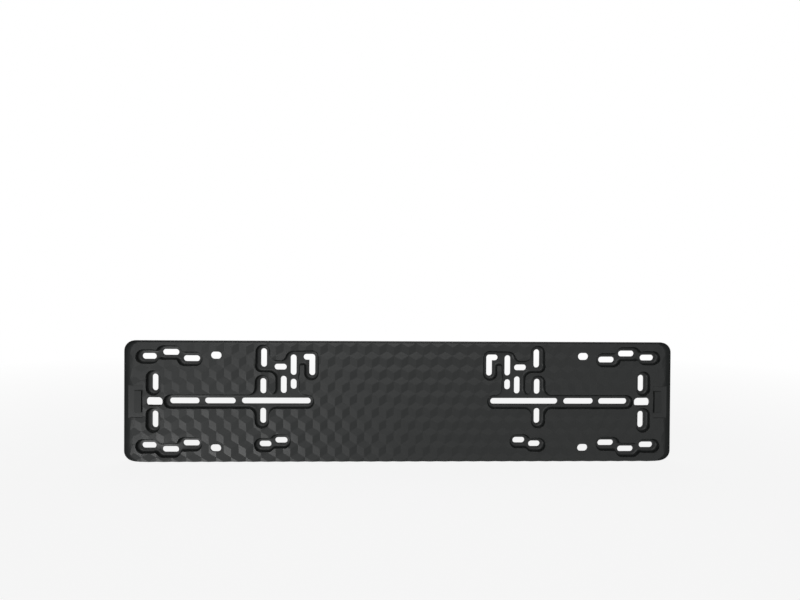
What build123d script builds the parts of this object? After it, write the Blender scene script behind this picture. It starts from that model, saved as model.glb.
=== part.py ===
"""Number plate holder: one moulded base plate, screwed to the car through slots sunk in its patterned face.

The plate is modelled lying on its back, front up, and is then stood upright with its front to -Y,
its back on the plane Y = 0 and the origin in the middle of that back.
"""

import os
from math import cos, radians, sin, sqrt

from build123d import *

# Outline of the plate, seen from the front.
PLATE_WIDTH = 540.0
PLATE_HEIGHT = 117.8
CORNER_RADIUS = 10.0

# Levels above the back: the middle of the patterned face, the skirt's upright part, the recess floor.
FACE_LEVEL = 8.2
SKIRT_LEVEL = 3.6
FLOOR_LEVEL = 2.2

# The two ends roll over in three slopes. Along the top and the bottom the edge leans in only a little.
SHOULDER_LEVEL = 6.2
SHOULDER_LEAN = 3.8
PATTERN_LEAN = 6.8
END_LEAN = 11.2
LONG_SIDE_LEAN = 0.4

# Faceted pattern of stacked cubes: width of one cube, half its depth, and the height of one row's peaks.
CUBE_WIDTH = 14.35
CUBE_HALF_DEPTH = 0.6
CUBE_ROW_HEIGHT = 3.8

# Walls of the moulding.
SKIRT_WALL = 2.2
FACE_WALL = 2.2
RECESS_WALL = 2.6
RIB_WALL = 1.6
RIB_CLEARANCE = 1.0
RIBS_EACH_SIDE = 4

# Screw slots, the room for a screw head round each, and the rounding of a recess's inward corners
# and of the thin tips left between two recesses.
SLOT_WIDTH = 5.8
HEAD_MARGIN = 4.1
CHANNEL_BLEND = 6.5
GROUP_BLEND = 5.6
PAIR_BLEND = 2.6
HOOK_BLEND = 1.4
TIP_ROUND = 1.2

# Slots as (distance from the plate's end, height above its middle line, overall length, upright or not).
HALF_HEIGHT = PLATE_HEIGHT / 2
COLUMN_OFFSET = 14.6
CORNER_OUTER = (24.0, HALF_HEIGHT - 15.3, 14.0, False)
CORNER_MIDDLE = (44.8, HALF_HEIGHT - 11.3, 16.0, False)
CORNER_INNER = (64.9, HALF_HEIGHT - 17.4, 16.0, False)
END_SLOT = (29.7, 18.1, 16.4, True)
ROW_OUTER = (58.1, 0.0, 28.8, False)
ROW_MIDDLE = (92.7, 0.0, 30.0, False)
ROW_INNER = (147.3, 0.0, 67.4, False)
COLUMN_UPPER = (134.5, COLUMN_OFFSET, 15.0, True)
COLUMN_LOWER = (134.5, -COLUMN_OFFSET, 15.0, True)
TALL_OUTER = (135.1, HALF_HEIGHT - 16.5, 18.2, True)
TALL_INNER = (164.1, HALF_HEIGHT - 23.5, 20.2, True)
SHORT_ACROSS = (151.4, HALF_HEIGHT - 25.5, 12.0, False)
MIDDLE_UPRIGHT = (154.5, 15.9, 17.0, True)
SHORT_UPRIGHT = (164.2, 16.5, 10.0, True)
HOOK_LEG = (182.4, HALF_HEIGHT - 23.3, 21.0, True)
HOOK_ARM_LENGTH = 11.4
HOOK_ARM_FROM_END = HOOK_LEG[0] + (SLOT_WIDTH - HOOK_ARM_LENGTH) / 2
HOOK_ARM = (HOOK_ARM_FROM_END, HOOK_LEG[1] + (HOOK_LEG[2] - SLOT_WIDTH) / 2, HOOK_ARM_LENGTH, False)
LOWER_OUTER = (136.9, 16.5 - HALF_HEIGHT, 11.6, False)
LOWER_INNER = (152.5, 20.1 - HALF_HEIGHT, 12.0, False)

# Stretches of recess with no slot of their own, which straighten the edge between two slots.
TALL_BRIDGE = (141.7, HALF_HEIGHT - 24.3, 20.0, False)
TALL_BRIDGE_WIDTH = 3.8
HOOK_BRIDGE = (171.3, HALF_HEIGHT - 16.1, 19.0, False)

# Plain holes through the face, beside the recesses.
FACE_HOLE = (90.1, HALF_HEIGHT - 13.8, 10.4, False)
FACE_HOLE_WIDTH = 7.0
LATCH_FROM_END = 31.0
LATCH_LENGTH = 15.4
LATCH_HEIGHT = 8.6
LATCH_CORNER = 3.6

# Seat for the tongue of an end clip, and the lug that the tongue snaps over: steep inside, sloping outwards.
SEAT_LENGTH = 19.6
SEAT_HEIGHT = 31.4
SEAT_DEPTH = 1.0
LUG_FROM_END = 19.2
LUG_LENGTH = 7.8
LUG_HEIGHT = 21.0
LUG_INNER_RISE = 2.2
LUG_OUTER_RISE = 1.0
LUG_WALL_RUN = 0.4

PLATE_END = PLATE_WIDTH / 2
PEAK_LEVEL = FACE_LEVEL + CUBE_HALF_DEPTH
DIP_LEVEL = FACE_LEVEL - CUBE_HALF_DEPTH
HOLLOW_LEVEL = FACE_LEVEL - FACE_WALL
SEAT_LEVEL = FACE_LEVEL - SEAT_DEPTH
ON_FLOOR = (Align.CENTER, Align.CENTER, Align.MIN)


def laid(place, shape):
    """A flat shape moved to a slot's place on the right half, and turned upright where the slot is."""
    from_end, height, _, upright = place
    return Pos(PLATE_END - from_end, height) * Rot(0, 0, 90 if upright else 0) * shape


def slot(place, width=SLOT_WIDTH, margin=0.0):
    """Outline of a slot, grown by a margin all round."""
    return laid(place, SlotOverall(place[2] + 2 * margin, width + 2 * margin))


def flipped(place):
    """The same slot as far below the middle line."""
    from_end, height, length, upright = place
    return (from_end, -height, length, upright)


def spanning(outer, inner):
    """One slot from the outer end of a slot to the inner end of another in the same row."""
    start = outer[0] - outer[2] / 2
    end = inner[0] + inner[2] / 2
    return ((start + end) / 2, outer[1], end - start, False)


def recess_outline(places, blend, bridges=()):
    """One outline round several slots, grown too far and shrunk back, which rounds its inward corners."""
    margin = HEAD_MARGIN + blend
    grown = Sketch() + [slot(place, margin=margin) for place in places]
    grown += [slot(place, TALL_BRIDGE_WIDTH, margin) for place in bridges]
    return offset(grown, -blend)


def both_halves(shapes):
    """Shapes of the right half together with their mirror images."""
    return shapes + [mirror(shape, about=Plane.YZ) for shape in shapes]


def cube_relief():
    """Block whose front is tiled with cubes seen corner on, each with three faces that fall from its peak."""
    side = CUBE_WIDTH / sqrt(3)
    row_step = 1.5 * side
    columns = int(PLATE_END / CUBE_WIDTH) + 2
    rows = int(HALF_HEIGHT / row_step) + 2
    facets = []
    border = {}
    for row in range(-rows, rows + 1):
        shift = 0.5 if row % 2 == 0 else 0.0
        for column in range(-columns, columns + 1):
            x = (column + shift) * CUBE_WIDTH
            y = CUBE_ROW_HEIGHT + row * row_step
            ring = []
            for index in range(6):
                angle = radians(30 + 60 * index)
                level = FACE_LEVEL - CUBE_HALF_DEPTH * (index % 2)
                ring.append((round(x + side * cos(angle), 5), round(y + side * sin(angle), 5), level))
            for index in (0, 2, 4):
                quad = [(x, y, PEAK_LEVEL), ring[index], ring[index + 1], ring[(index + 2) % 6]]
                facets.append(Face(Wire.make_polygon(quad)))
            for start, end in zip(ring, ring[1:] + ring[:1]):
                # An edge met before belongs to two cubes, so only the outermost edges stay in the border.
                if border.pop((end, start), None) is None:
                    border[(start, end)] = True
    following = dict(border.keys())
    corner = next(iter(following))
    foot = []
    for _ in following:
        foot.append((corner[0], corner[1], 0))
        corner = following[corner]
    walls = []
    for start, end in following.items():
        quad = [start, end, (end[0], end[1], 0), (start[0], start[1], 0)]
        walls.append(Face(Wire.make_polygon(quad)))
    return Solid(Shell(facets + walls + [Face(Wire.make_polygon(foot))]))


def ring_at(level, end_lean, side_lean):
    """Outline of the plate at a level, drawn in by its lean at the ends and along the long sides."""
    width = PLATE_WIDTH - 2 * end_lean
    height = PLATE_HEIGHT - 2 * side_lean
    return Pos(0, 0, level) * RectangleRounded(width, height, CORNER_RADIUS)


def outer_form():
    """Outside of the plate with its rolled ends and its patterned face."""
    rings = [
        ring_at(0, 0, 0),
        ring_at(SKIRT_LEVEL, 0, 0),
        ring_at(SHOULDER_LEVEL, SHOULDER_LEAN, LONG_SIDE_LEAN / 2),
        ring_at(DIP_LEVEL, PATTERN_LEAN, LONG_SIDE_LEAN),
        ring_at(PEAK_LEVEL, END_LEAN, LONG_SIDE_LEAN),
    ]
    return loft(rings, ruled=True) & cube_relief()


def well(place):
    """Block behind one recess, whose walls stand between the recess and the hollow back."""
    room = 2 * (HEAD_MARGIN + RECESS_WALL)
    return extrude(laid(place, Rectangle(place[2] + room, SLOT_WIDTH + room)), HOLLOW_LEVEL)


def latch_outline(margin=0.0):
    """Outline of the right latch hole, grown by a margin all round."""
    length = LATCH_LENGTH + 2 * margin
    height = LATCH_HEIGHT + 2 * margin
    return Pos(PLATE_END - LATCH_FROM_END, 0) * RectangleRounded(length, height, LATCH_CORNER + margin)


def back_hollow(recessed):
    """Space behind the face, between the skirt, the wells of the recesses, the latch collars and the ribs."""
    inner_height = PLATE_HEIGHT - 2 * SKIRT_WALL
    inner_radius = CORNER_RADIUS - SKIRT_WALL
    mouth = RectangleRounded(PLATE_WIDTH - 2 * SKIRT_WALL, inner_height, inner_radius)
    top = RectangleRounded(PLATE_WIDTH - 2 * (PATTERN_LEAN + SKIRT_WALL), inner_height, inner_radius)
    hollow = extrude(mouth, FLOOR_LEVEL)
    hollow += loft([Pos(0, 0, FLOOR_LEVEL) * mouth, Pos(0, 0, HOLLOW_LEVEL) * top])
    seat_pad = Box(2 * (SEAT_LENGTH + FACE_WALL), SEAT_HEIGHT, SEAT_DEPTH, align=ON_FLOOR)
    kept = [well(place) for place in recessed]
    kept.append(extrude(latch_outline(RECESS_WALL), HOLLOW_LEVEL))
    kept.append(Pos(PLATE_END, 0, HOLLOW_LEVEL - SEAT_DEPTH) * seat_pad)
    rib_height = HOLLOW_LEVEL - RIB_CLEARANCE
    rib_pitch = PLATE_END / (RIBS_EACH_SIDE + 1)
    upright_rib = Box(RIB_WALL, PLATE_HEIGHT, rib_height, align=ON_FLOOR)
    ribs = [Pos(index * rib_pitch, 0, RIB_CLEARANCE) * upright_rib for index in range(1, RIBS_EACH_SIDE + 1)]
    long_rib = Box(2 * (PLATE_END - ROW_INNER[0]), RIB_WALL, rib_height, align=ON_FLOOR)
    middle_ribs = [Pos(0, 0, RIB_CLEARANCE) * rib for rib in (upright_rib, long_rib)]
    return hollow - both_halves(kept + ribs) - middle_ribs


def snap_lug():
    """Lug on the right seat, drawn from the side and pushed out to both sides of the middle line."""
    profile = [
        (0, 0),
        (LUG_WALL_RUN, LUG_INNER_RISE),
        (LUG_LENGTH - LUG_WALL_RUN, LUG_OUTER_RISE),
        (LUG_LENGTH, 0),
    ]
    side = Plane.XZ * Polygon(*profile, align=None)
    return Pos(PLATE_END - LUG_FROM_END, 0, SEAT_LEVEL) * extrude(side, LUG_HEIGHT / 2, both=True)


def holder_plate():
    """The whole plate, upright."""
    upper_corner = [CORNER_OUTER, CORNER_MIDDLE, CORNER_INNER]
    lower_corner = [flipped(place) for place in upper_corner]
    ends = [END_SLOT, flipped(END_SLOT)]
    row = [ROW_OUTER, ROW_MIDDLE, ROW_INNER]
    columns = [COLUMN_UPPER, COLUMN_LOWER]
    inner_group = [TALL_OUTER, SHORT_ACROSS, TALL_INNER, MIDDLE_UPRIGHT, SHORT_UPRIGHT]
    hook = [HOOK_LEG, HOOK_ARM]
    lower_pair = [LOWER_OUTER, LOWER_INNER]
    channel = spanning(ROW_OUTER, ROW_INNER)
    sunk = upper_corner + lower_corner + ends + row + columns + inner_group + hook + lower_pair
    network = recess_outline([channel] + columns, CHANNEL_BLEND)
    network += recess_outline(inner_group + [ROW_INNER], GROUP_BLEND, [TALL_BRIDGE])
    network += recess_outline([TALL_INNER, HOOK_BRIDGE] + hook, HOOK_BLEND)
    recesses = [
        offset(offset(network, TIP_ROUND), -TIP_ROUND),
        recess_outline(lower_pair, PAIR_BLEND),
        recess_outline(upper_corner, PAIR_BLEND),
        recess_outline(lower_corner, PAIR_BLEND),
    ]
    recesses += [slot(place, margin=HEAD_MARGIN) for place in ends]
    holes = [slot(place) for place in sunk]
    holes += [slot(place, FACE_HOLE_WIDTH) for place in (FACE_HOLE, flipped(FACE_HOLE))]
    holes.append(latch_outline())
    cuts = [Pos(0, 0, FLOOR_LEVEL) * extrude(outline, PEAK_LEVEL) for outline in recesses]
    cuts += [extrude(hole, PEAK_LEVEL) for hole in holes]
    cuts.append(Pos(PLATE_END, 0, SEAT_LEVEL) * Box(2 * SEAT_LENGTH, SEAT_HEIGHT, PEAK_LEVEL, align=ON_FLOOR))
    hollow = back_hollow(sunk + [channel, TALL_BRIDGE, HOOK_BRIDGE])
    plate = outer_form() - hollow - both_halves(cuts) + both_halves([snap_lug()])
    return Plane.XZ.location * plate


os.makedirs("parts", exist_ok=True)
export_step(holder_plate(), "parts/holder_plate.step")
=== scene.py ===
from math import radians, sin, sqrt

import bmesh
import bpy
from bpy.props import FloatProperty, FloatVectorProperty, PointerProperty
from mathutils import Matrix, Vector


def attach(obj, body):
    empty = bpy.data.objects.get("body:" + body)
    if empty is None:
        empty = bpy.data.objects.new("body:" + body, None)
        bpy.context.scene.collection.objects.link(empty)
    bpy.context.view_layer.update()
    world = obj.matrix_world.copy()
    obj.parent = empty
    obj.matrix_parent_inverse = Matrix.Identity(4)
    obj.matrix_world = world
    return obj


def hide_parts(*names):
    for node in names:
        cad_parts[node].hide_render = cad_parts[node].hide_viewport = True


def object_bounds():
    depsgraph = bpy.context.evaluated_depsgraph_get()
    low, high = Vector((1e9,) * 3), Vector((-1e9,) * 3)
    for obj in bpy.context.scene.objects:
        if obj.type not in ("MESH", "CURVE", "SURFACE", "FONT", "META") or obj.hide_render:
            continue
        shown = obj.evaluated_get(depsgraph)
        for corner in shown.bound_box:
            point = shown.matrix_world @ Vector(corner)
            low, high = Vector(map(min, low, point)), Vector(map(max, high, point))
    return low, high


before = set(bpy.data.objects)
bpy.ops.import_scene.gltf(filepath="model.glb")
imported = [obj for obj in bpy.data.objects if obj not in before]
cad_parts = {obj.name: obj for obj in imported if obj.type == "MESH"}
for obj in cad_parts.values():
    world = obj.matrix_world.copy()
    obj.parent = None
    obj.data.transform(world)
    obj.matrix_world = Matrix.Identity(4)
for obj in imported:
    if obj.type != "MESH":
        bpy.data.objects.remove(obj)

bl_info = {
    "name": "Number plate holder",
    "version": (1, 0, 0),
    "blender": (4, 5, 0),
    "location": "View3D > Sidebar > Holder",
    "description": "Finishes the moulded base plate of a number plate holder and sets its studio stage",
    "category": "Object",
}

CAD_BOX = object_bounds()
MM = 0.001
QUARTER_TURN = radians(90.0)
WHITE = (1.0, 1.0, 1.0, 1.0)

# Points within the first distance are one point, and points within the second lie at one level.
MERGE_DISTANCE = 0.01 * MM
LEVEL_TOLERANCE = 0.02 * MM

# How far the normal of a face points along the depth: at least so far on a face that lies flat, on the
# floor of a recess and on a facet of the relief, and at most so far on an upright wall.
FLAT_NORMAL = 0.9
FLOOR_NORMAL = 0.99
FACET_NORMAL = 0.8
WALL_NORMAL = 0.1
# How far the normal of the wall along the top edge points up.
TOP_WALL_NORMAL = 0.98

# Faces that meet at no more than these bends become one: those in a plane, and the wall along the top edge.
PLANE_BEND = radians(0.5)
TOP_WALL_BEND = radians(10.0)
# Edges with more than these bends are bends of the rolled ends, hard edges, and hard edges between facets.
SHOULDER_BEND = radians(12.0)
SHARP_BEND = radians(40.0)
FACET_BEND = radians(11.0)

# Steps of each rounding, and the profile of the fillet, which is a little flatter than an arc.
RIM_STEPS = 2
SHOULDER_STEPS = 3
FILLET_STEPS = 4
FILLET_PROFILE = 0.4
TOP_STEPS = 5
# With all the weight on large faces, the flat ones stay flat beside their rounded rims.
LARGE_FACE_WEIGHT = 100

# Noise of the plastic: the pale patches, the part of their noise that moves the gloss, and the grain.
PATCHES_PER_METRE = 28.0
PATCH_DETAIL = 4.0
PATCH_ROUGHNESS = 0.6
GLOSS_SPAN = (0.3, 0.7)
GRAIN_DETAIL = 2.0
# Sockets of a Mix node that mixes colours: three inputs and the output.
MIX_FACTOR, MIX_FIRST, MIX_SECOND, MIX_RESULT = 0, 6, 7, 2

# The floor: its roughness, the share of plain white that the camera sees near the plate, and the distances
# from the plate between which that share grows to the whole.
FLOOR_ROUGHNESS = 0.9
FLOOR_WHITE_SHARE = 0.88
FLOOR_FADE = (0.35, 1.2)

# Lamps that face the middle of the plate: place, width and height, and the setting with the power.
LAMPS = {
    "key_lamp": ((-0.5, -0.53, -0.36), (0.29, 0.26), "key_power"),
    "front_lamp": ((-0.15, -1.2, 0.6), (0.9, 0.35), "front_power"),
    "fill_lamp": ((0.7, -0.8, -0.31), (0.3, 0.3), "fill_power"),
    "back_lamp": ((0.0, 0.9, 1.3), (1.4, 1.0), "back_power"),
}

# Where the room changes its brightness, as parts of a direction: from the front to the sides, from the
# left to the right, from the sides to the back, and from below to level.
FRONT_SPAN = (-0.7, -0.3)
BESIDE_SPAN = (-0.9, 0.3)
BEHIND_SPAN = (0.5, 0.68)
BELOW_SPAN = (-0.12, 0.0)

SENSOR_WIDTH = 36.0


class PlateShape(bpy.types.PropertyGroup):
    """Sizes of the moulding's soft edges, and the levels that tell its edges apart."""

    floor_level: FloatProperty(
        name="Floor level",
        description="How far the floor of the recesses lies in front of the back",
        default=2.2 * MM, unit="LENGTH",
    )
    hollow_level: FloatProperty(
        name="Hollow level",
        description="How far the hollow behind the face reaches in from the back",
        default=6.0 * MM, unit="LENGTH",
    )
    skirt_level: FloatProperty(
        name="Skirt level",
        description="How far the upright skirt reaches in front of the back",
        default=3.6 * MM, unit="LENGTH",
    )
    shoulder_level: FloatProperty(
        name="Shoulder level",
        description="Level of the bend halfway up the rolled ends",
        default=6.2 * MM, unit="LENGTH",
    )
    shoulder_round: FloatProperty(
        name="Shoulder rounding",
        description="Rounding of the bends of the rolled ends",
        default=1.2 * MM, unit="LENGTH",
    )
    floor_fillet: FloatProperty(
        name="Floor fillet",
        description="Fillet between the floor of a recess and its wall",
        default=2.4 * MM, unit="LENGTH",
    )
    edge_round: FloatProperty(
        name="Edge rounding",
        description="Rounding of the rims of recesses and holes, and of the slots on the floors and the back",
        default=0.2 * MM, unit="LENGTH",
    )
    top_rim: FloatProperty(
        name="Top edge",
        description="Height of the rim of the face along the top edge",
        default=58.5 * MM, unit="LENGTH",
    )
    top_round: FloatProperty(
        name="Top edge rounding",
        description="Rounding of the rim of the face along the top edge",
        default=1.3 * MM, unit="LENGTH",
    )
    shortest_edge: FloatProperty(
        name="Shortest rim edge",
        description="Rim points closer than this are merged before the rim is rounded",
        default=0.3 * MM, unit="LENGTH",
    )
    latch_middle: FloatProperty(
        name="Latch hole place",
        description="How far the middle of a latch hole lies from the middle of the plate",
        default=239.0 * MM, unit="LENGTH",
    )
    latch_clearance: FloatVectorProperty(
        name="Latch clearance",
        description="Length, depth and height of the space behind the outer half of a latch hole",
        default=(11.4 * MM, 5.6 * MM, 8.4 * MM), size=3, subtype="XYZ",
    )


class PlateFinish(bpy.types.PropertyGroup):
    """Look of the satin black plastic."""

    colour: FloatVectorProperty(
        name="Colour",
        description="Base colour of the plastic",
        default=(0.0121, 0.0137, 0.0135), size=3, subtype="COLOR", min=0.0, max=1.0,
    )
    pale_colour: FloatVectorProperty(
        name="Pale colour",
        description="Colour of the faint pale patches left by handling and dust",
        default=(0.0175, 0.0195, 0.0192), size=3, subtype="COLOR", min=0.0, max=1.0,
    )
    roughness: FloatProperty(
        name="Roughness",
        description="Middle roughness of the satin surface",
        default=0.42, min=0.0, max=1.0, subtype="FACTOR",
    )
    roughness_spread: FloatProperty(
        name="Roughness spread",
        description="How far the roughness strays to each side of its middle",
        default=0.06, min=0.0, max=0.3, subtype="FACTOR",
    )
    grain_size: FloatProperty(
        name="Grain size",
        description="Size of one bump of the moulded grain",
        default=0.45 * MM, unit="LENGTH",
    )
    grain_depth: FloatProperty(
        name="Grain depth",
        description="Height of the moulded grain",
        default=0.018 * MM, unit="LENGTH",
    )


class StageSettings(bpy.types.PropertyGroup):
    """Floor, light and camera of the studio."""

    floor_size: FloatProperty(
        name="Floor size",
        description="Edge length of the pale floor",
        default=6.0, unit="LENGTH",
    )
    floor_colour: FloatVectorProperty(
        name="Floor colour",
        description="Colour of the pale floor",
        default=(0.86, 0.86, 0.86), size=3, subtype="COLOR", min=0.0, max=1.0,
    )
    camera_place: FloatVectorProperty(
        name="Camera place",
        description="Where the camera stands",
        default=(-0.01975, -0.5982, 0.10539), size=3, subtype="TRANSLATION",
    )
    camera_turn: FloatVectorProperty(
        name="Camera turn",
        description="Pitch, roll and yaw of the camera, from level and square to the plate",
        default=(radians(-0.537), radians(-0.378), radians(-1.751)), size=3, subtype="EULER",
    )
    camera_lens: FloatProperty(
        name="Camera lens",
        description="Focal length on a 36 mm wide sensor, in millimetres",
        default=27.159,
    )
    key_power: FloatProperty(
        name="Key light",
        description="Power of the soft lamp low at the left",
        default=1.4, unit="POWER",
    )
    front_power: FloatProperty(
        name="Front light",
        description="Power of the wide lamp above the camera",
        default=3.4, unit="POWER",
    )
    fill_power: FloatProperty(
        name="Fill light",
        description="Power of the weak lamp low at the right",
        default=0.16, unit="POWER",
    )
    back_power: FloatProperty(
        name="Back light",
        description="Power of the soft lamp high behind the plate",
        default=4.0, unit="POWER",
    )
    room_level: FloatProperty(
        name="Room level",
        description="Brightness of the room in front of the plate",
        default=0.60, min=0.0, max=1.0,
    )
    side_level: FloatProperty(
        name="Room level beside",
        description="Brightness of the room beside and above the plate",
        default=0.06, min=0.0, max=1.0,
    )
    left_level: FloatProperty(
        name="Room level at the left",
        description="Brightness of the room at the left, where it is darkest",
        default=0.0, min=0.0, max=1.0,
    )
    behind_level: FloatProperty(
        name="Room level behind",
        description="Brightness of the room low behind the plate, which shows in its back",
        default=0.8, min=0.0, max=1.0,
    )


def only(piece):
    """Selects one object and nothing else, and makes it the active one."""
    bpy.ops.object.select_all(action="DESELECT")
    piece.select_set(True)
    bpy.context.view_layer.objects.active = piece


def pick(piece, mode, wanted, shape):
    """In edit mode, selects the edges or the faces that pass a test."""
    bpy.ops.mesh.select_mode(type=mode)
    bpy.ops.mesh.select_all(action="DESELECT")
    mesh = bmesh.from_edit_mesh(piece.data)
    mesh.normal_update()
    parts = mesh.faces if mode == "FACE" else mesh.edges
    picked = [part for part in parts if wanted(part, shape)]
    if not picked:
        raise RuntimeError(f"nothing of {piece.name} passed the test {wanted.__name__}")
    for part in picked:
        part.select_set(True)
    bmesh.update_edit_mesh(piece.data)


def lies_at(part, level):
    """True where all corners of an edge or a face lie at a level in front of the back."""
    return all(abs(vert.co.y + level) < LEVEL_TOLERANCE for vert in part.verts)


def flat_and_wall(edge):
    """The face of an edge that looks along the depth, and its upright neighbour, or None."""
    if len(edge.link_faces) != 2:
        return None
    first, second = sorted(edge.link_faces, key=lambda face: -abs(face.normal.y))
    if abs(first.normal.y) > FLAT_NORMAL and abs(second.normal.y) < WALL_NORMAL:
        return first, second
    return None


def slot_rim(edge, shape):
    """True for the rim of a slot in a floor, where the wall goes on towards the back."""
    pair = flat_and_wall(edge) if lies_at(edge, shape.floor_level) else None
    return pair and pair[1].calc_center_median().y > -shape.floor_level


def recess_floor(face, shape):
    """True for the floor of a recess."""
    return lies_at(face, shape.floor_level) and face.normal.y < -FLOOR_NORMAL


def floor_border(edge, shape):
    """True for an open edge at the level of the floors."""
    return edge.is_boundary and lies_at(edge, shape.floor_level)


def recess_foot(edge, shape):
    """True for an open edge where the wall of a recess ends at its floor."""
    return floor_border(edge, shape) and edge.link_faces[0].calc_center_median().y < -shape.floor_level


def closed_foot(edge, shape):
    """True for an edge of a face that closes a recess at the level of its floor."""
    return lies_at(edge, shape.floor_level) and any(recess_floor(face, shape) for face in edge.link_faces)


def shoulder(edge, shape):
    """True for the bends of the rolled ends."""
    level = lies_at(edge, shape.skirt_level) or lies_at(edge, shape.shoulder_level)
    return level and edge.calc_face_angle() > SHOULDER_BEND


def face_rim(edge, shape):
    """True for a rim between the front face and a wall that goes on deep enough to be rounded."""
    pair = flat_and_wall(edge)
    if not pair or pair[0].normal.y > 0.0 or pair[0].calc_center_median().y > -shape.hollow_level:
        return False
    wall_foot = max(vert.co.y for vert in pair[1].verts)
    return wall_foot - max(vert.co.y for vert in edge.verts) > shape.shortest_edge


def outer_rim(edge, shape):
    """True for a rim of the front face, or of the back."""
    return face_rim(edge, shape) or lies_at(edge, 0.0) and flat_and_wall(edge)


def top_wall(face, shape):
    """True for the wall along the top edge, above the skirt."""
    middle = face.calc_center_median()
    in_place = middle.z > shape.top_rim - LEVEL_TOLERANCE and middle.y < -shape.skirt_level
    return in_place and face.normal.z > TOP_WALL_NORMAL


def top_face(face, shape):
    """True for the facets that reach into the rounding of the top edge."""
    reach = max(vert.co.z for vert in face.verts)
    in_place = reach > shape.top_rim - shape.top_round and face.calc_center_median().y < -shape.hollow_level
    return in_place and face.normal.y < -FACET_NORMAL


def hard_edge(edge, shape):
    """True for sharp edges, and for those between facets, but not along the rounding of the top edge."""
    bend = edge.calc_face_angle()
    on_face = all(vert.co.y < -shape.hollow_level for vert in edge.verts)
    on_face = on_face and all(face.normal.y < -FACET_NORMAL for face in edge.link_faces)
    first, second = (vert.co.z for vert in edge.verts)
    along_top = abs(first - second) < LEVEL_TOLERANCE and first > shape.top_rim - shape.top_round
    return bend > SHARP_BEND or on_face and not along_top and bend > FACET_BEND


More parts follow.
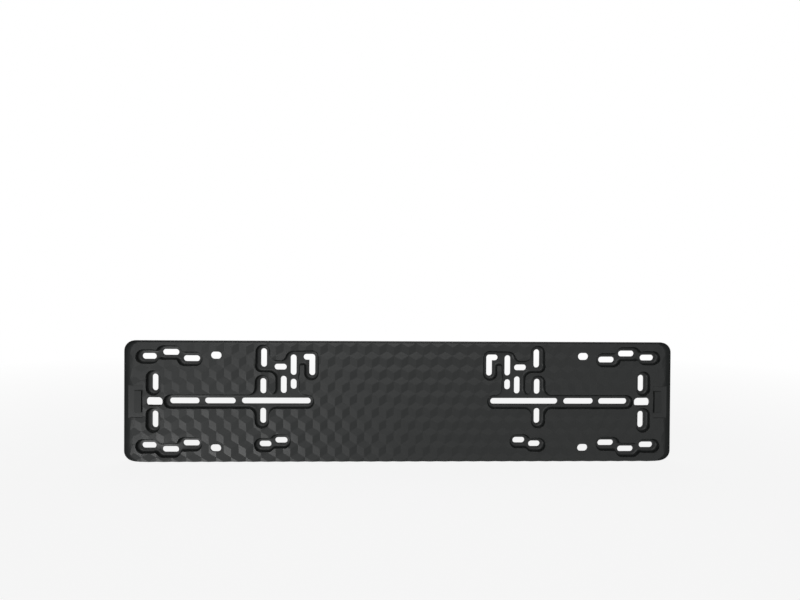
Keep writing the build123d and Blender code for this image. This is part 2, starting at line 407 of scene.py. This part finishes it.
class HOLDER_OT_plate(bpy.types.Operator):
    """Finishes the moulded plate: clean facets, filleted recesses, rounded rims and satin plastic"""

    bl_idname = "holder.plate"
    bl_label = "Moulded plate"

    def execute(self, context):
        shape = context.scene.holder_shape
        plate = self.copy_of_solid(context.scene)
        self.clear_latch_holes(plate, shape)
        bpy.ops.object.mode_set(mode="EDIT")
        self.join_facets(plate, shape)
        self.fillet_recesses(plate, shape)
        self.round_edges(plate, shape)
        self.mark_hard_edges(plate, shape)
        bpy.ops.object.mode_set(mode="OBJECT")
        self.keep_faces_flat(plate)

        plate.data.materials.clear()
        plate.data.materials.append(satin_plastic(context.scene.holder_finish))
        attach(plate, "root")
        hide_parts("holder_plate")
        return {"FINISHED"}

    def copy_of_solid(self, scene):
        """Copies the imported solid, with its triangles joined at their corners."""
        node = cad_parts["holder_plate"]
        plate = bpy.data.objects.new("moulded_plate", node.data.copy())
        scene.collection.objects.link(plate)
        only(plate)
        bpy.ops.mesh.customdata_custom_splitnormals_clear()
        bpy.ops.object.mode_set(mode="EDIT")
        bpy.ops.mesh.select_all(action="SELECT")
        bpy.ops.mesh.remove_doubles(threshold=MERGE_DISTANCE)
        bpy.ops.object.mode_set(mode="OBJECT")
        return plate

    def clear_latch_holes(self, plate, shape):
        """Opens the collar of each latch hole towards the plate's end, where only the face's wall is left."""
        length, depth, height = shape.latch_clearance
        for side in (-1.0, 1.0):
            bpy.ops.mesh.primitive_cube_add(
                size=1.0,
                location=(side * (shape.latch_middle + length / 2), 0.0, 0.0),
                scale=(length, 2 * depth, height),
            )
            block = bpy.context.active_object
            only(plate)
            cut = plate.modifiers.new("Latch clearance", "BOOLEAN")
            cut.operation = "DIFFERENCE"
            cut.solver = "EXACT"
            cut.object = block
            bpy.ops.object.modifier_apply(modifier=cut.name)
            bpy.data.objects.remove(block)

    def join_facets(self, plate, shape):
        """Makes one face of the triangles in each plane, and merges rim points that lie too close."""
        bpy.ops.mesh.select_all(action="SELECT")
        bpy.ops.mesh.dissolve_limited(angle_limit=PLANE_BEND)
        pick(plate, "EDGE", face_rim, shape)
        bpy.ops.mesh.remove_doubles(threshold=shape.shortest_edge)

    def fillet_recesses(self, plate, shape):
        """Rounds the slots in the floors of the recesses, and fillets the floors to the walls."""
        pick(plate, "EDGE", slot_rim, shape)
        bpy.ops.mesh.bevel(offset=shape.edge_round, segments=RIM_STEPS, loop_slide=False)

        # The floors are taken out, each outline is closed by one plain face and filleted, and the floors
        # are filled again round their slots.
        pick(plate, "FACE", recess_floor, shape)
        bpy.ops.mesh.delete(type="FACE")
        pick(plate, "EDGE", recess_foot, shape)
        bpy.ops.mesh.remove_doubles(threshold=shape.shortest_edge)
        pick(plate, "EDGE", recess_foot, shape)
        bpy.ops.mesh.edge_face_add()
        pick(plate, "EDGE", closed_foot, shape)
        bpy.ops.mesh.bevel(
            offset=shape.floor_fillet, segments=FILLET_STEPS, profile=FILLET_PROFILE, loop_slide=False,
        )
        pick(plate, "FACE", recess_floor, shape)
        bpy.ops.mesh.delete(type="FACE")
        pick(plate, "EDGE", floor_border, shape)
        bpy.ops.mesh.fill()

    def round_edges(self, plate, shape):
        """Rounds the bends of the rolled ends, the top edge, and the rims of the face and the back."""
        pick(plate, "EDGE", shoulder, shape)
        bpy.ops.mesh.bevel(offset=shape.shoulder_round, segments=SHOULDER_STEPS, loop_slide=False)
        self.round_top_edge(plate, shape)
        pick(plate, "EDGE", outer_rim, shape)
        bpy.ops.mesh.bevel(offset=shape.edge_round, segments=RIM_STEPS, loop_slide=False)

    def round_top_edge(self, plate, shape):
        """Cuts the face along the top edge into strips and lets them fall away in a quarter round."""
        pick(plate, "FACE", top_wall, shape)
        bpy.ops.mesh.dissolve_limited(angle_limit=TOP_WALL_BEND)
        radius = shape.top_round
        start = shape.top_rim - radius
        mesh = bmesh.from_edit_mesh(plate.data)
        for step in range(TOP_STEPS):
            height = start + radius * sin(QUARTER_TURN * step / TOP_STEPS)
            faces = [face for face in mesh.faces if top_face(face, shape)]
            edges = dict.fromkeys(edge for face in faces for edge in face.edges)
            verts = dict.fromkeys(vert for face in faces for vert in face.verts)
            bmesh.ops.bisect_plane(
                mesh, geom=[*faces, *edges, *verts], plane_co=(0.0, 0.0, height), plane_no=(0.0, 0.0, 1.0),
            )
        mesh.normal_update()
        strips = [face for face in mesh.faces if top_face(face, shape)]
        for vert in dict.fromkeys(vert for face in strips for vert in face.verts):
            rise = min(max(vert.co.z - start, 0.0), radius)
            vert.co.y += radius - sqrt(radius ** 2 - rise ** 2)
        bmesh.update_edit_mesh(plate.data)

    def mark_hard_edges(self, plate, shape):
        """Shades everything smooth but the hard edges."""
        bpy.ops.mesh.select_all(action="SELECT")
        bpy.ops.mesh.faces_shade_smooth()
        pick(plate, "EDGE", hard_edge, shape)
        bpy.ops.mesh.mark_sharp()

    def keep_faces_flat(self, plate):
        """Turns the normals round a rounded edge to its large faces, so that these look flat."""
        soften = plate.modifiers.new("Flat faces stay flat", "WEIGHTED_NORMAL")
        soften.keep_sharp = True
        soften.weight = LARGE_FACE_WEIGHT
        bpy.ops.object.modifier_apply(modifier=soften.name)


def ramp(tree, value, span, ends):
    """Node that takes a value from one span to another, and goes no further than the ends."""
    node = tree.nodes.new("ShaderNodeMapRange")
    node.inputs["From Min"].default_value, node.inputs["From Max"].default_value = span
    node.inputs["To Min"].default_value, node.inputs["To Max"].default_value = ends
    tree.links.new(value, node.inputs["Value"])
    return node


def combine(tree, operation, *outputs):
    """Output of a Math node that takes the given outputs in order."""
    node = tree.nodes.new("ShaderNodeMath")
    node.operation = operation
    for output, socket in zip(outputs, node.inputs):
        tree.links.new(output, socket)
    return node.outputs["Value"]


def noise(tree, **settings):
    """Output of a noise texture that is fixed to the object."""
    place = tree.nodes.new("ShaderNodeTexCoord")
    texture = tree.nodes.new("ShaderNodeTexNoise")
    for name, value in settings.items():
        texture.inputs[name].default_value = value
    tree.links.new(place.outputs["Object"], texture.inputs["Vector"])
    return texture.outputs["Fac"]


def show_mixed(tree, share, first, second, surface):
    """Mixes two shaders by the share of the second, and shows them as a surface."""
    mixed = tree.nodes.new("ShaderNodeMixShader")
    for output, socket in zip((share, first, second), mixed.inputs):
        tree.links.new(output, socket)
    tree.links.new(mixed.outputs["Shader"], surface)


def satin_plastic(finish):
    """Black plastic with a fine moulded grain and a gloss that strays a little."""
    material = bpy.data.materials.new("satin_black_plastic")
    material.use_nodes = True
    tree = material.node_tree
    shader = tree.nodes["Principled BSDF"]

    patches = noise(tree, Scale=PATCHES_PER_METRE, Detail=PATCH_DETAIL, Roughness=PATCH_ROUGHNESS)
    tone = tree.nodes.new("ShaderNodeMix")
    tone.data_type = "RGBA"
    tone.inputs[MIX_FIRST].default_value = (*finish.colour, 1.0)
    tone.inputs[MIX_SECOND].default_value = (*finish.pale_colour, 1.0)
    tree.links.new(patches, tone.inputs[MIX_FACTOR])
    tree.links.new(tone.outputs[MIX_RESULT], shader.inputs["Base Color"])

    smoothest = finish.roughness - finish.roughness_spread
    roughest = finish.roughness + finish.roughness_spread
    gloss = ramp(tree, patches, GLOSS_SPAN, (smoothest, roughest))
    tree.links.new(gloss.outputs["Result"], shader.inputs["Roughness"])

    grain = noise(tree, Scale=1.0 / finish.grain_size, Detail=GRAIN_DETAIL)
    bump = tree.nodes.new("ShaderNodeBump")
    bump.inputs["Distance"].default_value = finish.grain_depth
    tree.links.new(grain, bump.inputs["Height"])
    tree.links.new(bump.outputs["Normal"], shader.inputs["Normal"])
    return material


def pale_floor(stage):
    """White floor that shows as the white background, with a faint shadow of the plate on it."""
    material = bpy.data.materials.new("pale_floor")
    material.use_nodes = True
    tree = material.node_tree
    matt = tree.nodes["Principled BSDF"]
    matt.inputs["Base Color"].default_value = (*stage.floor_colour, 1.0)
    matt.inputs["Roughness"].default_value = FLOOR_ROUGHNESS
    matt.inputs["Specular IOR Level"].default_value = 0.0
    white = tree.nodes.new("ShaderNodeEmission")
    path = tree.nodes.new("ShaderNodeLightPath")
    place = tree.nodes.new("ShaderNodeTexCoord")
    distance = tree.nodes.new("ShaderNodeVectorMath")
    distance.operation = "LENGTH"
    tree.links.new(place.outputs["Object"], distance.inputs[0])
    fade = ramp(tree, distance.outputs["Value"], FLOOR_FADE, (FLOOR_WHITE_SHARE, 1.0))
    share = combine(tree, "MULTIPLY", path.outputs["Is Camera Ray"], fade.outputs["Result"])
    surface = tree.nodes["Material Output"].inputs["Surface"]
    show_mixed(tree, share, matt.outputs["BSDF"], white.outputs["Emission"], surface)
    return material


class HOLDER_OT_stage(bpy.types.Operator):
    """Sets the pale floor, the soft studio light and the camera"""

    bl_idname = "holder.stage"
    bl_label = "Studio stage"

    def execute(self, context):
        stage = context.scene.holder_stage
        self.floor(stage)
        for name, (place, size, power) in LAMPS.items():
            self.lamp(name, place, size, getattr(stage, power))
        self.room(context.scene, stage)
        self.camera(context.scene, stage)
        context.scene.view_settings.view_transform = "Standard"
        return {"FINISHED"}

    def floor(self, stage):
        """Floor under the plate. It lets the light of the low lamps through, and no gloss shows it."""
        bottom = CAD_BOX[0].z
        bpy.ops.object.select_all(action="DESELECT")
        bpy.ops.mesh.primitive_plane_add(size=stage.floor_size, location=(0.0, 0.0, bottom))
        floor = bpy.context.active_object
        floor.name = "studio_floor"
        floor.data.materials.append(pale_floor(stage))
        floor.visible_glossy = False
        floor.visible_shadow = False

    def lamp(self, name, place, size, power):
        """Soft lamp that faces the middle of the plate."""
        bpy.ops.object.light_add(type="AREA", location=place)
        lamp = bpy.context.active_object
        lamp.name = name
        lamp.rotation_euler = (-Vector(place)).to_track_quat("-Z", "Y").to_euler()
        lamp.data.shape = "RECTANGLE"
        lamp.data.size, lamp.data.size_y = size
        lamp.data.energy = power

    def room(self, scene, stage):
        """Room that is bright in front, dark beside and bright low behind, and white to the camera."""
        world = bpy.data.worlds.new("studio_room")
        world.use_nodes = True
        scene.world = world
        tree = world.node_tree
        place = tree.nodes.new("ShaderNodeTexCoord")
        axes = tree.nodes.new("ShaderNodeSeparateXYZ")
        tree.links.new(place.outputs["Generated"], axes.inputs["Vector"])
        front = ramp(tree, axes.outputs["Y"], FRONT_SPAN, (stage.room_level, stage.side_level))
        # The level beside the plate rises from left to right, so the front's ramp ends at a ramp of its own.
        beside = ramp(tree, axes.outputs["X"], BESIDE_SPAN, (stage.left_level, stage.side_level))
        tree.links.new(beside.outputs["Result"], front.inputs["To Max"])
        behind = ramp(tree, axes.outputs["Y"], BEHIND_SPAN, (0.0, stage.behind_level))
        below = ramp(tree, axes.outputs["Z"], BELOW_SPAN, (1.0, 0.0))
        # What is both behind and below is added to the level in front and beside.
        parts = [node.outputs["Result"] for node in (behind, below, front)]
        level = combine(tree, "MULTIPLY_ADD", *parts)

        room = tree.nodes["Background"]
        room.inputs["Color"].default_value = WHITE
        tree.links.new(level, room.inputs["Strength"])
        white = tree.nodes.new("ShaderNodeBackground")
        white.inputs["Color"].default_value = WHITE
        path = tree.nodes.new("ShaderNodeLightPath")
        seen = combine(tree, "MAXIMUM", path.outputs["Is Camera Ray"], path.outputs["Is Transmission Ray"])
        surface = tree.nodes["World Output"].inputs["Surface"]
        show_mixed(tree, seen, room.outputs["Background"], white.outputs["Background"], surface)

    def camera(self, scene, stage):
        """Camera of the photo, as it was fitted to the plate's outline and slots."""
        bpy.ops.object.camera_add(location=stage.camera_place)
        camera = bpy.context.active_object
        camera.name = "photo_camera"
        pitch, roll, yaw = stage.camera_turn
        turn = Matrix.Rotation(yaw, 3, "Z") @ Matrix.Rotation(pitch, 3, "X") @ Matrix.Rotation(roll, 3, "Y")
        camera.rotation_euler = (turn @ Matrix.Rotation(QUARTER_TURN, 3, "X")).to_euler()
        camera.data.sensor_width = SENSOR_WIDTH
        camera.data.lens = stage.camera_lens
        camera.data.dof.use_dof = False
        scene.camera = camera


class HOLDER_PT_panel(bpy.types.Panel):
    """Lists the steps and the sizes of the number plate holder"""

    bl_idname = "HOLDER_PT_panel"
    bl_label = "Number plate holder"
    bl_space_type = "VIEW_3D"
    bl_region_type = "UI"
    bl_category = "Holder"

    def draw(self, context):
        scene = context.scene
        for settings, operator in (
            (scene.holder_shape, HOLDER_OT_plate),
            (scene.holder_finish, None),
            (scene.holder_stage, HOLDER_OT_stage),
        ):
            box = self.layout.box()
            for name in settings.__annotations__:
                box.prop(settings, name)
            if operator:
                box.operator(operator.bl_idname)


CLASSES = (PlateShape, PlateFinish, StageSettings, HOLDER_OT_plate, HOLDER_OT_stage, HOLDER_PT_panel)


def register():
    """Registers the classes, and gives each scene its settings."""
    for cls in CLASSES:
        bpy.utils.register_class(cls)
    bpy.types.Scene.holder_shape = PointerProperty(type=PlateShape)
    bpy.types.Scene.holder_finish = PointerProperty(type=PlateFinish)
    bpy.types.Scene.holder_stage = PointerProperty(type=StageSettings)


def unregister():
    """Takes the settings away again, and then the classes."""
    del bpy.types.Scene.holder_stage
    del bpy.types.Scene.holder_finish
    del bpy.types.Scene.holder_shape
    for cls in reversed(CLASSES):
        bpy.utils.unregister_class(cls)


def main():
    """Builds the plate and its stage."""
    register()
    bpy.ops.holder.plate()
    bpy.ops.holder.stage()


if __name__ == "__main__":
    main()
